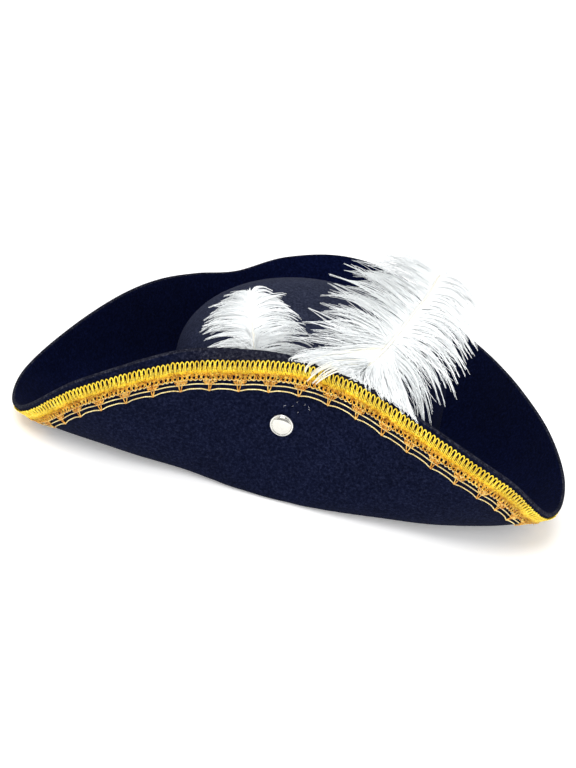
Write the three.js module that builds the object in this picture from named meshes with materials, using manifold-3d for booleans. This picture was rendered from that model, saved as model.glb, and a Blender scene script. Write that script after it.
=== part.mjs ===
// A felt tricorn hat: a round crown and a wide brim in one piece of felt, the brim turned up
// into a front flap, two rear flaps and three corners. A pierced gold braid runs round the
// outside of the rim, a metal snap holds the front flap to the crown, and two ostrich plumes
// rise from behind that flap.
// Millimetres, +Z up, -Y towards the front flap. The hat stands on the flat of its brim,
// and the origin is under the middle of its bounding box.
import * as THREE from "three";
import { mergeVertices } from "three/addons/utils/BufferGeometryUtils.js";
import Module from "manifold-3d";

// Driving dimensions
const felt = { thickness: 2.5 };
const crown = { halfWidth: 89, halfLength: 95, height: 100, shoulder: 45, taper: 2, fillet: 4 };
const brim = { width: 100, flat: 4 };
const braid = {
  belowRim: 4.2,
  belowRimAtLowest: 0.6,
  band: 13.4,
  gap: 2.2,
  thread: 1.5,
  thickness: 0.9,
  knots: 60,
  knotWidth: 3.6,
  standOff: 0.45,
};
const snap = {
  angle: 267,
  belowRim: 42,
  capRadius: 6.8,
  capHeight: 2.6,
  edgeHeight: 1.1,
  postRadius: 2.4,
  flangeRadius: 5,
  flangeHeight: 1.2,
  standOff: 0.55,
};
const clearance = 0.35;
const quill = { root: 1.7, tip: 0.8, sides: 6 };
const lock = { rootThickness: 2.2, tipThickness: 0.8, width: 0.92, sections: 3 };

// The brim's sections, one each 15 degrees from +X towards +Y, as shares of the brim's width:
// how far its floor runs out from the crown before it turns up, how far out the rim lies,
// and how high the rim stands. 210 and 330 are the pinched corners, 90 is the raised one.
const sections = [
  { at: 0, floor: 0.54, reach: 0.66, rise: 0.42 },
  { at: 15, floor: 0.42, reach: 0.5, rise: 0.53 },
  { at: 30, floor: 0.34, reach: 0.44, rise: 0.58 },
  { at: 45, floor: 0.3, reach: 0.42, rise: 0.63 },
  { at: 60, floor: 0.26, reach: 0.52, rise: 0.68 },
  { at: 75, floor: 0.2, reach: 0.64, rise: 0.76 },
  { at: 90, floor: 0.18, reach: 0.71, rise: 0.77 },
  { at: 105, floor: 0.2, reach: 0.62, rise: 0.71 },
  { at: 120, floor: 0.26, reach: 0.49, rise: 0.61 },
  { at: 135, floor: 0.3, reach: 0.44, rise: 0.61 },
  { at: 150, floor: 0.34, reach: 0.44, rise: 0.6 },
  { at: 165, floor: 0.42, reach: 0.5, rise: 0.54 },
  { at: 180, floor: 0.56, reach: 0.67, rise: 0.38 },
  { at: 195, floor: 0.72, reach: 0.9, rise: 0.18 },
  { at: 210, floor: 0.74, reach: 0.96, rise: 0.16 },
  { at: 225, floor: 0.56, reach: 0.8, rise: 0.54 },
  { at: 240, floor: 0.27, reach: 0.49, rise: 0.84 },
  { at: 255, floor: 0.15, reach: 0.26, rise: 0.92 },
  { at: 270, floor: 0.12, reach: 0.21, rise: 0.935 },
  { at: 285, floor: 0.21, reach: 0.3, rise: 0.905 },
  { at: 300, floor: 0.35, reach: 0.51, rise: 0.77 },
  { at: 315, floor: 0.54, reach: 0.82, rise: 0.55 },
  { at: 330, floor: 0.6, reach: 0.91, rise: 0.26 },
  { at: 345, floor: 0.6, reach: 0.83, rise: 0.29 },
];
// How far the two middle handles of a section lie towards the corner of its fold.
const foldTightness = 0.85;

// The plumes' quills from root to tip: the direction from the crown's axis, how far the quill
// stands off the crown's wall, its height, and how long the vane is on its two sides, all
// lengths as shares of the brim's width. Vanes start above the row where a side is not 0.
const plumes = {
  small: {
    locks: 8,
    angle: { left: 62, right: 74 },
    droop: { left: 0.44, right: 0.34 },
    quill: [
      { at: 262, out: -0.006, up: 0.14, left: 0, right: 0 },
      { at: 259, out: 0.03, up: 0.45, left: 0, right: 0 },
      { at: 255, out: 0.09, up: 0.76, left: 0.28, right: 0.34 },
      { at: 251, out: 0.07, up: 0.96, left: 0.29, right: 0.33 },
      { at: 247, out: 0.02, up: 1.06, left: 0.24, right: 0.28 },
      { at: 243, out: -0.05, up: 1.12, left: 0.14, right: 0.16 },
    ],
  },
  large: {
    locks: 14,
    angle: { left: 88, right: 80 },
    droop: { left: 0.08, right: 0.3 },
    quill: [
      { at: 276, out: -0.007, up: 0.14, left: 0, right: 0 },
      { at: 280, out: 0.06, up: 0.5, left: 0, right: 0 },
      { at: 286, out: 0.14, up: 0.87, left: 0.44, right: 0.38 },
      { at: 293, out: 0.14, up: 1.09, left: 0.5, right: 0.44 },
      { at: 301, out: 0.03, up: 1.21, left: 0.5, right: 0.42 },
      { at: 314, out: -0.1, up: 1.3, left: 0.46, right: 0.36 },
      { at: 334, out: -0.22, up: 1.34, left: 0.36, right: 0.3 },
      { at: 352, out: -0.25, up: 1.27, left: 0.24, right: 0.22 },
      { at: 364, out: -0.22, up: 1.13, left: 0.12, right: 0.12 },
    ],
  },
};

const degrees = Math.PI / 180;
const half = felt.thickness / 2;
const sectionLoop = new THREE.CatmullRomCurve3(
  sections.map((s) => new THREE.Vector3(s.floor, s.reach, s.rise)),
  true,
  "catmullrom",
  0.5,
);

function sharesAt(angle) {
  const turn = (((angle / 360) % 1) + 1) % 1;
  const p = sectionLoop.getPoint(turn);
  return { floor: p.x, reach: p.y, rise: p.z };
}

// Distance from the crown's axis to the outside of its wall, where it meets the brim.
function crownRadius(angle) {
  const c = Math.cos(angle * degrees);
  const s = Math.sin(angle * degrees);
  const a = crown.halfWidth;
  const b = crown.halfLength;
  return (a * b) / Math.hypot(b * c, a * s);
}

// The crown's middle surface in one upright section: 0 to 1 is the dome from its top down,
// 1 to 2 the wall, 2 to 3 the round into the brim, 3 to 4 the flat that the hat stands on.
function crownSection(angle, t) {
  const wall = crownRadius(angle) - half;
  const top = wall - crown.taper;
  const foot = half + crown.fillet;
  if (t <= 1) {
    const a = (1 - t) * 90 * degrees;
    const dome = crown.height - half - crown.shoulder;
    return new THREE.Vector2(top * Math.cos(a), crown.shoulder + dome * Math.sin(a));
  }
  if (t <= 2) {
    const k = t - 1;
    return new THREE.Vector2(top + crown.taper * k, crown.shoulder + (foot - crown.shoulder) * k);
  }
  if (t <= 3) {
    const a = (t - 2) * 90 * degrees;
    const round = crown.fillet;
    return new THREE.Vector2(wall + round * (1 - Math.cos(a)), foot - round * Math.sin(a));
  }
  return new THREE.Vector2(wall + crown.fillet + brim.flat * (t - 3), half);
}

const foldCurves = new Map();

// The brim's middle surface in one upright section, from the flat to the rim.
function foldCurve(angle) {
  const key = angle.toFixed(6);
  if (!foldCurves.has(key)) {
    const share = sharesAt(angle);
    const start = crownSection(angle, 4);
    const base = crownRadius(angle);
    const rim = new THREE.Vector2(base + share.reach * brim.width, share.rise * brim.width);
    const corner = new THREE.Vector2(Math.max(base + share.floor * brim.width, start.x), half);
    const curve = new THREE.CubicBezierCurve(
      start,
      start.clone().lerp(corner, foldTightness),
      rim.clone().lerp(corner, foldTightness),
      rim,
    );
    curve.arcLengthDivisions = 60;
    foldCurves.set(key, curve);
  }
  return foldCurves.get(key);
}

function inSpace(angle, section) {
  return new THREE.Vector3(
    section.x * Math.cos(angle * degrees),
    section.x * Math.sin(angle * degrees),
    section.y,
  );
}

const crownPoint = (angle, t) => inSpace(angle, crownSection(angle, t));

// A point of the brim's middle surface at a distance from the rim, along the felt.
function brimPoint(angle, fromRim) {
  const curve = foldCurve(angle);
  const along = 1 - fromRim / curve.getLength();
  return inSpace(angle, curve.getPointAt(THREE.MathUtils.clamp(along, 0, 1)));
}

// The unit normal that points to the upper face of the felt.
function normalOf(surface, angle, t, low, high) {
  const turn = 0.2;
  const step = 0.01 * (high - low);
  const t0 = Math.max(low, t - step);
  const t1 = Math.min(high, t + step);
  const round = surface(angle + turn, t).sub(surface(angle - turn, t));
  const down = surface(angle, t1).sub(surface(angle, t0));
  return down.cross(round).normalize();
}

// A point above the felt's middle surface, or below it for a negative lift.
function onCrown(angle, t, lift) {
  const part = Math.min(Math.floor(t), 3);
  const flat = part === 3 || t === 3;
  const up = new THREE.Vector3(0, 0, 1);
  const normal = flat || t === 0 ? up : normalOf(crownPoint, angle, t, part, part + 1);
  return crownPoint(angle, t).addScaledVector(normal, lift);
}

function onBrim(angle, fromRim, lift) {
  const length = foldCurve(angle).getLength();
  const normal = normalOf(brimPoint, angle, fromRim, 0, length).negate();
  return brimPoint(angle, fromRim).addScaledVector(normal, lift);
}

// The stations round the hat: equal steps along the rim, one for each knot of the braid, with
// half steps where the rim turns sharply at a corner.
const rimSamples = 1440;
const rimLengths = [0];
for (let i = 1; i <= rimSamples; i++) {
  const before = brimPoint(((i - 1) * 360) / rimSamples, 0);
  const now = brimPoint((i * 360) / rimSamples, 0);
  rimLengths.push(rimLengths[i - 1] + now.distanceTo(before));
}
const rimLength = rimLengths[rimSamples];
const knotPitch = rimLength / braid.knots;

function angleAtRim(length) {
  const turns = Math.floor(length / rimLength);
  const along = length - turns * rimLength;
  let i = 1;
  while (i < rimSamples && rimLengths[i] < along) i++;
  const k = (along - rimLengths[i - 1]) / (rimLengths[i] - rimLengths[i - 1]);
  return (turns + (i - 1 + k) / rimSamples) * 360;
}

const sharpTurn = 18 * degrees;
const stations = [];
for (let knot = 0; knot < braid.knots; knot++) {
  const here = knot * knotPitch;
  const at = [here - knotPitch / 2, here, here + knotPitch, here + 1.5 * knotPitch];
  const points = at.map((length) => brimPoint(angleAtRim(length), 0));
  const before = points[1].clone().sub(points[0]);
  const after = points[3].clone().sub(points[2]);
  stations.push({ length: here, knot: true });
  if (before.angleTo(after) > sharpTurn) {
    stations.push({ length: here + knotPitch / 2, knot: false });
  }
}
for (const station of stations) station.angle = angleAtRim(station.length);

// Turns rings of points into one closed mesh. Neighbouring rings have as many points each,
// and the first and last rings are closed by the single points given for them.
function closedLoft(rings, first, last) {
  const points = [first, ...rings.flat(), last];
  const count = rings[0].length;
  const index = [];
  const at = (ring, i) => 1 + ring * count + (i % count);
  for (let i = 0; i < count; i++) {
    index.push(0, at(0, i), at(0, i + 1));
    for (let ring = 0; ring + 1 < rings.length; ring++) {
      const [a, b] = [at(ring, i), at(ring, i + 1)];
      const [c, d] = [at(ring + 1, i), at(ring + 1, i + 1)];
      index.push(a, c, d, a, d, b);
    }
    index.push(at(rings.length - 1, i), points.length - 1, at(rings.length - 1, i + 1));
  }
  return meshGeometry(points, index);
}

function meshGeometry(points, index) {
  const geometry = new THREE.BufferGeometry();
  geometry.setFromPoints(points);
  geometry.setIndex(index);
  geometry.computeVertexNormals();
  return geometry;
}

// Booleans
const wasm = await Module();
wasm.setup();

function toSolid(geometry) {
  const bare = new THREE.BufferGeometry();
  bare.setAttribute("position", geometry.getAttribute("position"));
  bare.setIndex(geometry.getIndex());
  const merged = mergeVertices(bare, 1e-4);
  return new wasm.Manifold(
    new wasm.Mesh({
      numProp: 3,
      vertProperties: new Float32Array(merged.attributes.position.array),
      triVerts: new Uint32Array(merged.index.array),
    }),
  );
}

function toGeometry(solid) {
  const mesh = solid.getMesh();
  const geometry = new THREE.BufferGeometry();
  geometry.setAttribute("position", new THREE.BufferAttribute(mesh.vertProperties.slice(), 3));
  geometry.setIndex(new THREE.BufferAttribute(mesh.triVerts.slice(), 1));
  geometry.computeVertexNormals();
  return geometry;
}

// Where the braid's own edges lie, along the felt from its upper edge down.
const braidEdges = [0, braid.band];
for (const width of [braid.gap, braid.thread, braid.gap, braid.thread]) {
  braidEdges.push(braidEdges.at(-1) + width);
}
const highestRise = Math.max(...sections.map((s) => s.rise));

// The distance of the braid's upper edge from the rim. Bare felt shows above the braid on the
// high flaps, and the braid comes up to the rim where the rim is low.
function braidTop(angle) {
  const share = sharesAt(angle).rise / highestRise;
  return THREE.MathUtils.lerp(braid.belowRimAtLowest, braid.belowRim, share);
}

// Rows between the flat and the braid, closer together round the fold.
const foldShares = [0.3, 0.5, 0.66, 0.82];

// Distances from the rim, along the felt, at which the brim has a row of points. The last
// ones are the edges of the braid, so that braid and felt have parallel faces.

function brimRows(angle) {
  const curve = foldCurve(angle);
  const lengths = curve.getLengths();
  const last = lengths.length - 1;
  const top = braidTop(angle);
  const end = top + braidEdges.at(-1);
  const braidEnd = curve.getUtoTmapping(0, lengths[last] - end);
  const fromRimAt = (t) => {
    const i = Math.floor(t * last);
    return lengths[last] - THREE.MathUtils.lerp(lengths[i], lengths[i + 1], t * last - i);
  };
  return [
    ...foldShares.map((share) => fromRimAt(braidEnd * share)),
    end,
    top + braid.band,
    top,
    0,
  ];
}

function feltGeometry() {
  const crownRows = [0.3, 0.56, 0.8, 1, 2, 3, 4];
  const ring = (make) => stations.map((station) => make(station.angle));
  const rowCount = brimRows(0).length;
  const upper = [];
  const under = [];
  for (const t of crownRows) {
    upper.push(ring((angle) => onCrown(angle, t, half)));
    under.push(ring((angle) => onCrown(angle, t, -half)));
  }
  for (let row = 0; row < rowCount; row++) {
    upper.push(ring((angle) => onBrim(angle, brimRows(angle)[row], half)));
    under.push(ring((angle) => onBrim(angle, brimRows(angle)[row], -half)));
  }
  // The rim is rounded by one more row, half a thickness beyond the last.
  const edge = ring((angle) => {
    const last = brimPoint(angle, 0);
    const inner = brimPoint(angle, half);
    return last.clone().add(last.clone().sub(inner).setLength(half * 0.8));
  });
  const rings = [...upper, edge, ...under.reverse()];
  return closedLoft(rings, onCrown(0, 0, half), onCrown(0, 0, -half));
}

// The braid: a woven band, then two threads, tied across at each knot. It lies on the outside
// of the brim, just off the felt.
function braidGeometry() {
  const columns = [];
  stations.forEach((station, i) => {
    const next = stations[(i + 1) % stations.length];
    const nextLength = next.length + (next.length <= station.length ? rimLength : 0);
    const start = station.knot ? station.length + braid.knotWidth / 2 : station.length;
    const end = next.knot ? nextLength - braid.knotWidth / 2 : nextLength;
    if (station.knot) {
      columns.push({ from: station.length - braid.knotWidth / 2, open: false });
    }
    columns.push({ from: start, to: end, open: true });
  });
  const openRows = [1, 3];
  const inner = -(half + braid.standOff);
  const outer = inner - braid.thickness;
  const points = [];
  for (const column of columns) {
    const angle = angleAtRim(column.from);
    for (const edge of braidEdges) {
      const fromRim = braidTop(angle) + edge;
      points.push(onBrim(angle, fromRim, inner), onBrim(angle, fromRim, outer));
    }
  }
  const rows = braidEdges.length;
  const at = (column, row, side) => ((column % columns.length) * rows + row) * 2 + side;
  const isOpen = (column, row) =>
    row < 0 || row > rows - 2 || (columns[column % columns.length].open && openRows.includes(row));
  const index = [];
  const quad = (a, b, c, d) => index.push(a, b, c, a, c, d);
  const count = columns.length;
  for (let c = 0; c < count; c++) {
    for (let row = 0; row < rows - 1; row++) {
      if (isOpen(c, row)) continue;
      quad(at(c, row, 1), at(c, row + 1, 1), at(c + 1, row + 1, 1), at(c + 1, row, 1));
      quad(at(c, row, 0), at(c + 1, row, 0), at(c + 1, row + 1, 0), at(c, row + 1, 0));
      if (isOpen(c, row - 1)) {
        quad(at(c, row, 0), at(c, row, 1), at(c + 1, row, 1), at(c + 1, row, 0));
      }
      if (isOpen(c, row + 1)) {
        quad(at(c, row + 1, 0), at(c + 1, row + 1, 0), at(c + 1, row + 1, 1), at(c, row + 1, 1));
      }
      if (isOpen(c + count - 1, row)) {
        quad(at(c, row, 0), at(c, row + 1, 0), at(c, row + 1, 1), at(c, row, 1));
      }
      if (isOpen(c + 1, row)) {
        quad(at(c + 1, row, 0), at(c + 1, row, 1), at(c + 1, row + 1, 1), at(c + 1, row + 1, 0));
      }
    }
  }
  return meshGeometry(points, index);
}

// The snap: where it stands on the front flap, and which way it faces.
const snapFoot = onBrim(snap.angle, snap.belowRim, -half);
const snapOut = snapFoot.clone().sub(onBrim(snap.angle, snap.belowRim, half)).normalize();

function facing(direction) {
  return new THREE.Quaternion().setFromUnitVectors(new THREE.Vector3(0, 1, 0), direction);
}

function lathe(profile, sides) {
  return new THREE.LatheGeometry(
    profile.map(([r, y]) => new THREE.Vector2(r, y)),
    sides,
  );
}

// The cap and the rivet shank under it, which goes through the felt. Its axis is +Y.
function snapCapGeometry() {
  const foot = snap.standOff;
  const shank = -(felt.thickness + clearance);
  const dome = snap.capHeight - snap.edgeHeight;
  const domeRows = 3;
  const profile = [
    [0, shank],
    [snap.postRadius, shank],
    [snap.postRadius, foot],
    [snap.capRadius * 0.97, foot],
    [snap.capRadius, foot + snap.edgeHeight / 2],
  ];
  for (let i = 0; i <= domeRows; i++) {
    const a = (i / domeRows) * 90 * degrees;
    const r = snap.capRadius * 0.97 * Math.cos(a);
    profile.push([i === domeRows ? 0 : r, foot + snap.edgeHeight + dome * Math.sin(a)]);
  }
  return lathe(profile, 20);
}

// The hidden half of the snap: a flange behind the flap and a plain stud to the crown.
function snapStudGeometry(length) {
  const start = -(felt.thickness + 2 * clearance);
  const flange = start - snap.flangeHeight;
  const end = start - length;
  return lathe(
    [
      [0, end],
      [snap.postRadius, end],
      [snap.postRadius, flange],
      [snap.flangeRadius, flange],
      [snap.flangeRadius, start],
      [0, start],
    ],
    12,
  );
}

// How far a point lies outside the crown, as a share of the crown's own radius there.
function crownShareAt(point) {
  const angle = Math.atan2(point.y, point.x) / degrees;
  const wall = crownRadius(angle) - (crown.taper * point.z) / crown.shoulder;
  if (point.z <= crown.shoulder) return Math.hypot(point.x, point.y) / wall;
  const top = crownRadius(angle) - crown.taper;
  const up = (point.z - crown.shoulder) / (crown.height - crown.shoulder);
  return Math.hypot(Math.hypot(point.x, point.y) / top, up);
}

// The way from the back of the flap to the crown's wall, along the snap's axis.
function studLength() {
  const start = snapFoot.clone().addScaledVector(snapOut, -(felt.thickness + 2 * clearance));
  let length = 0;
  const step = 0.05;
  const reach = snap.postRadius;
  while (length < brim.width) {
    const tip = start.clone().addScaledVector(snapOut, -(length + clearance + step));
    const corners = [
      [reach, 0],
      [-reach, 0],
      [0, reach],
      [0, -reach],
    ].map(([x, z]) => tip.clone().add(new THREE.Vector3(x, 0, z)));
    if (corners.some((corner) => crownShareAt(corner) < 1)) break;
    length += step;
  }
  return length;
}

// A tapered solid along a line of points, each with its half width and half thickness. The
// sections lie flat to the face vector, and a pointed solid has none at its last point.
function tapered(points, sides, face, pointed) {
  const rings = [];
  const last = points.length - 1;
  points.slice(0, pointed ? last : points.length).forEach((point, i) => {
    const next = points[Math.min(i + 1, last)].at;
    const before = points[Math.max(i - 1, 0)].at;
    const along = next.clone().sub(before).normalize();
    const across = face.clone().cross(along).normalize();
    const through = across.clone().cross(along);
    const ring = [];
    for (let k = 0; k < sides; k++) {
      const a = (k / sides) * 360 * degrees;
      const offset = across.clone().multiplyScalar(point.width * Math.cos(a));
      ring.push(offset.addScaledVector(through, point.thickness * Math.sin(a)).add(point.at));
    }
    rings.push(ring);
  });
  return closedLoft(rings, points[0].at, points[last].at);
}

// A plume: a quill with a row of flat, pointed locks on either side and one at its tip.
function plumeSolid(plume) {
  const rows = plume.quill;
  const wallGap = clearance + quill.root;
  const spine = new THREE.CatmullRomCurve3(
    rows.map((row) => {
      const out = crownRadius(row.at) + wallGap + row.out * brim.width;
      return inSpace(row.at, new THREE.Vector2(out, row.up * brim.width));
    }),
    false,
    "catmullrom",
    0.5,
  );
  const widths = new THREE.CatmullRomCurve3(
    rows.map((row) => new THREE.Vector3(row.left, row.right, 0)),
  );
  const view = new THREE.Vector3(0, -1, 1).normalize();
  const quillPoints = [];
  const quillSteps = 8;
  for (let i = 0; i <= quillSteps; i++) {
    const t = i / quillSteps;
    const radius = THREE.MathUtils.lerp(quill.root, quill.tip, t);
    quillPoints.push({ at: spine.getPoint(t), width: radius, thickness: radius });
  }
  let solid = toSolid(tapered(quillPoints, quill.sides, view, false));
  const bare = rows.filter((row) => row.left === 0).length - 1;
  const start = (bare + 0.45) / (rows.length - 1);
  const step = (1 - start) / plume.locks;
  for (let i = 0; i < plume.locks; i++) {
    const t = start + (i + 0.5) * step;
    const root = spine.getPoint(t);
    const along = spine.getTangent(t);
    const face = view.clone().addScaledVector(along, -view.dot(along)).normalize();
    const right = along.clone().cross(face);
    const spacing = spine.getPoint(t + step / 2).distanceTo(spine.getPoint(t - step / 2));
    const share = widths.getPoint(t);
    for (const side of ["left", "right"]) {
      const length = (side === "left" ? share.x : share.y) * brim.width;
      const way = side === "left" ? -1 : 1;
      const lean = plume.angle[side] * degrees;
      const out = along.clone().multiplyScalar(Math.cos(lean));
      out.addScaledVector(right, way * Math.sin(lean));
      const points = [];
      for (let k = 0; k <= lock.sections; k++) {
        const v = k / lock.sections;
        const at = root.clone().addScaledVector(out, length * v);
        at.z -= plume.droop[side] * length * v * v;
        const width = (spacing / 2) * lock.width * Math.sin((0.25 + 0.75 * v) * Math.PI);
        const thick = THREE.MathUtils.lerp(lock.rootThickness, lock.tipThickness, v);
        points.push({ at, width, thickness: thick / 2 });
      }
      solid = solid.add(toSolid(tapered(points, 4, face, true)));
    }
  }
  return solid;
}

const feltBody = toSolid(feltGeometry());
const hole = new THREE.CylinderGeometry(
  snap.postRadius + clearance,
  snap.postRadius + clearance,
  felt.thickness * 3,
  18,
);
hole.translate(0, -half, 0);
hole.applyQuaternion(facing(snapOut));
hole.translate(snapFoot.x, snapFoot.y, snapFoot.z);
const feltCut = feltBody.subtract(toSolid(hole));

const paint = (color, roughness, metalness) =>
  new THREE.MeshStandardMaterial({ color, roughness, metalness });
const hat = new THREE.Group();

function addMesh(name, geometry, material) {
  const mesh = new THREE.Mesh(geometry, material);
  mesh.name = name;
  hat.add(mesh);
  return mesh;
}

addMesh("felt_body", toGeometry(feltCut), paint(0x0b1030, 0.95, 0));
addMesh("gold_braid", braidGeometry(), paint(0xe0a818, 0.4, 0.6));
for (const [name, geometry] of [
  ["snap_cap", snapCapGeometry()],
  ["snap_stud", snapStudGeometry(studLength())],
]) {
  const mesh = addMesh(name, geometry, paint(0xe8e4dc, 0.25, 0.9));
  mesh.quaternion.copy(facing(snapOut));
  mesh.position.copy(snapFoot);
}

addMesh("plume_small", toGeometry(plumeSolid(plumes.small)), paint(0xf2f0ea, 0.9, 0));
addMesh("plume_large", toGeometry(plumeSolid(plumes.large)), paint(0xf2f0ea, 0.9, 0));

const box = new THREE.Box3().setFromObject(hat);
hat.position.set(-(box.min.x + box.max.x) / 2, -(box.min.y + box.max.y) / 2, -box.min.z);

export default hat;
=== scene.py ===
"""A navy felt tricorn hat with gold gimp braid, a metal snap and two white ostrich plumes.

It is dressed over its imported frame. Sizes are in millimetres, as in the part's source, and
points become metres when a mesh is made."""

import math

import bpy
import numpy as np
from mathutils import Matrix, Vector


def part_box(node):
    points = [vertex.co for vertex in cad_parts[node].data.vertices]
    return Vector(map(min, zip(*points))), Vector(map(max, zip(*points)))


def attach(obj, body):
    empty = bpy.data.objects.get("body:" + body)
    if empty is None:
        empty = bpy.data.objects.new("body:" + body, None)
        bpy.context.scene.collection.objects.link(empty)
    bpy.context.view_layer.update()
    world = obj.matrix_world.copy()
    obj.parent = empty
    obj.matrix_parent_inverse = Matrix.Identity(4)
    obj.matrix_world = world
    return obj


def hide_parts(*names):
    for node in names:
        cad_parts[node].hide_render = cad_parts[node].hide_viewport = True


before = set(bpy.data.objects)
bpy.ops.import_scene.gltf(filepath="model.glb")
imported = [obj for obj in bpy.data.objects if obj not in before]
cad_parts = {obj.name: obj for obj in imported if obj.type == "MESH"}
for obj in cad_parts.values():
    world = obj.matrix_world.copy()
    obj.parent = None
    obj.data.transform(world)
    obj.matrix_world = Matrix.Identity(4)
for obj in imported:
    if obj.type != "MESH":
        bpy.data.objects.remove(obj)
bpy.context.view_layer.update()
scene = bpy.context.scene
MM = 0.001

# Camera
CAMERA_PLACE = (0.0357, -0.9504, 0.3875)
CAMERA_FORWARD = (-0.0454, 0.9339, -0.3548)
CAMERA_ROLL = 12.26
CAMERA_LENS = 72.9
CAMERA_SENSOR = 36.0


def make_camera():
    data = bpy.data.cameras.new("camera")
    data.sensor_fit = "VERTICAL"
    data.sensor_height = CAMERA_SENSOR
    data.lens = CAMERA_LENS
    camera = bpy.data.objects.new("camera", data)
    forward = Vector(CAMERA_FORWARD).normalized()
    level = forward.cross(Vector((0, 0, 1))).normalized()
    turn = Matrix.Rotation(math.radians(-CAMERA_ROLL), 3, forward)
    right = turn @ level
    up = right.cross(forward)
    rows = Matrix((right, up, -forward)).transposed()
    camera.matrix_world = Matrix.Translation(CAMERA_PLACE) @ rows.to_4x4()
    scene.collection.objects.link(camera)
    scene.camera = camera


make_camera()

# The hat's named sizes
FELT = 2.5
HALF = FELT / 2
CROWN = {
    "half_width": 89,
    "half_length": 95,
    "height": 100,
    "shoulder": 45,
    "taper": 2,
    "fillet": 4,
}
BRIM = {"width": 100, "flat": 4}
FOLD_TIGHTNESS = 0.85
QUILL = {"root": 1.7, "clearance": 0.35}
SNAP = {
    "angle": 267,
    "below_rim": 42,
    "stand_off": 0.55,
    "radius": 6.8,
    "height": 2.6,
    "edge": 1.1,
}
BRAID = {"below_rim": 4.2, "below_rim_at_lowest": 0.6, "band": 13.4, "knots": 60}
BRAID_THREADS = (15.9, 19.1)
# How much nearer the rim the braid was sewn on the front flap, from 230 to 350 degrees.
BRAID_NEARER = [0, -1.6, -1.0, 0.9, 3.2, 3.4, 3.0, 2.8, 2.8, 2.8, 2.6, 1.6, 0]
BRAID_NEARER_FROM, BRAID_NEARER_SPAN = 230, 120

# Brim sections every 15 degrees from +X: floor, reach and rise as shares of the brim's width.
SECTIONS = np.array(
    [
        (0.54, 0.66, 0.42),
        (0.42, 0.5, 0.53),
        (0.34, 0.44, 0.58),
        (0.3, 0.42, 0.63),
        (0.26, 0.52, 0.68),
        (0.2, 0.64, 0.76),
        (0.18, 0.71, 0.77),
        (0.2, 0.62, 0.71),
        (0.26, 0.49, 0.61),
        (0.3, 0.44, 0.61),
        (0.34, 0.44, 0.6),
        (0.42, 0.5, 0.54),
        (0.56, 0.67, 0.38),
        (0.72, 0.9, 0.18),
        (0.74, 0.96, 0.16),
        (0.56, 0.8, 0.54),
        (0.27, 0.49, 0.84),
        (0.15, 0.26, 0.92),
        (0.12, 0.21, 0.935),
        (0.21, 0.3, 0.905),
        (0.35, 0.51, 0.77),
        (0.54, 0.82, 0.55),
        (0.6, 0.91, 0.26),
        (0.6, 0.83, 0.29),
    ]
)
# Quills from root to tip: direction, distance off the crown, height, and the vane's two sides.
PLUMES = {
    "small": {
        "angle": (62, 74),
        "droop": (0.44, 0.34),
        "leave": (56, 66),
        "foot_turn": (30, 22),
        "bare": 1.6,
        "quill": [
            (262, -0.006, 0.14, 0, 0),
            (259, 0.03, 0.45, 0, 0),
            (255, 0.09, 0.76, 0.28, 0.38),
            (251, 0.07, 0.96, 0.29, 0.37),
            (247, 0.02, 1.06, 0.24, 0.31),
            (243, -0.05, 1.12, 0.14, 0.16),
        ],
    },
    "large": {
        "angle": (88, 80),
        "droop": (0.08, 0.3),
        "leave": (80, 42),
        "foot_turn": (65, 20),
        "bare": 1.9,
        "quill": [
            (276, -0.007, 0.14, 0, 0),
            (280, 0.06, 0.5, 0, 0),
            (286, 0.14, 0.87, 0.44, 0.38),
            (293, 0.14, 1.09, 0.5, 0.44),
            (301, 0.03, 1.21, 0.5, 0.42),
            (314, -0.1, 1.3, 0.46, 0.36),
            (334, -0.22, 1.34, 0.36, 0.3),
            (352, -0.25, 1.27, 0.24, 0.22),
            (364, -0.22, 1.13, 0.12, 0.12),
        ],
    },
}


# The felt's surface
def unit(v):
    return v / np.maximum(np.linalg.norm(v, axis=-1, keepdims=True), 1e-9)


def catmull(points, t, closed):
    """Uniform Catmull-Rom through the rows of points, t from 0 to 1."""
    points = np.asarray(points, float)
    t = np.asarray(t, float)
    count = len(points)
    place = t * count if closed else t * (count - 1)
    i = np.floor(place).astype(int)
    if not closed:
        i = np.clip(i, 0, count - 2)
    k = (place - i)[..., None]
    if closed:
        p = [points[(i + j) % count] for j in (-1, 0, 1, 2)]
    else:
        before = 2 * points[0] - points[1]
        after = 2 * points[-1] - points[-2]
        padded = np.vstack([before, points, after])
        p = [padded[i + j] for j in (0, 1, 2, 3)]
    a = (p[2] - p[0]) / 2
    b = (p[3] - p[1]) / 2
    return (
        p[1]
        + a * k
        + (-3 * p[1] + 3 * p[2] - 2 * a - b) * k**2
        + (2 * p[1] - 2 * p[2] + a + b) * k**3
    )


def crown_radius(angle):
    c = np.cos(np.radians(angle))
    s = np.sin(np.radians(angle))
    a, b = CROWN["half_width"], CROWN["half_length"]
    return a * b / np.hypot(b * c, a * s)


def in_space(angle, out, up):
    return np.stack(
        [out * np.cos(np.radians(angle)), out * np.sin(np.radians(angle)), up + 0 * out], -1
    )


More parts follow.
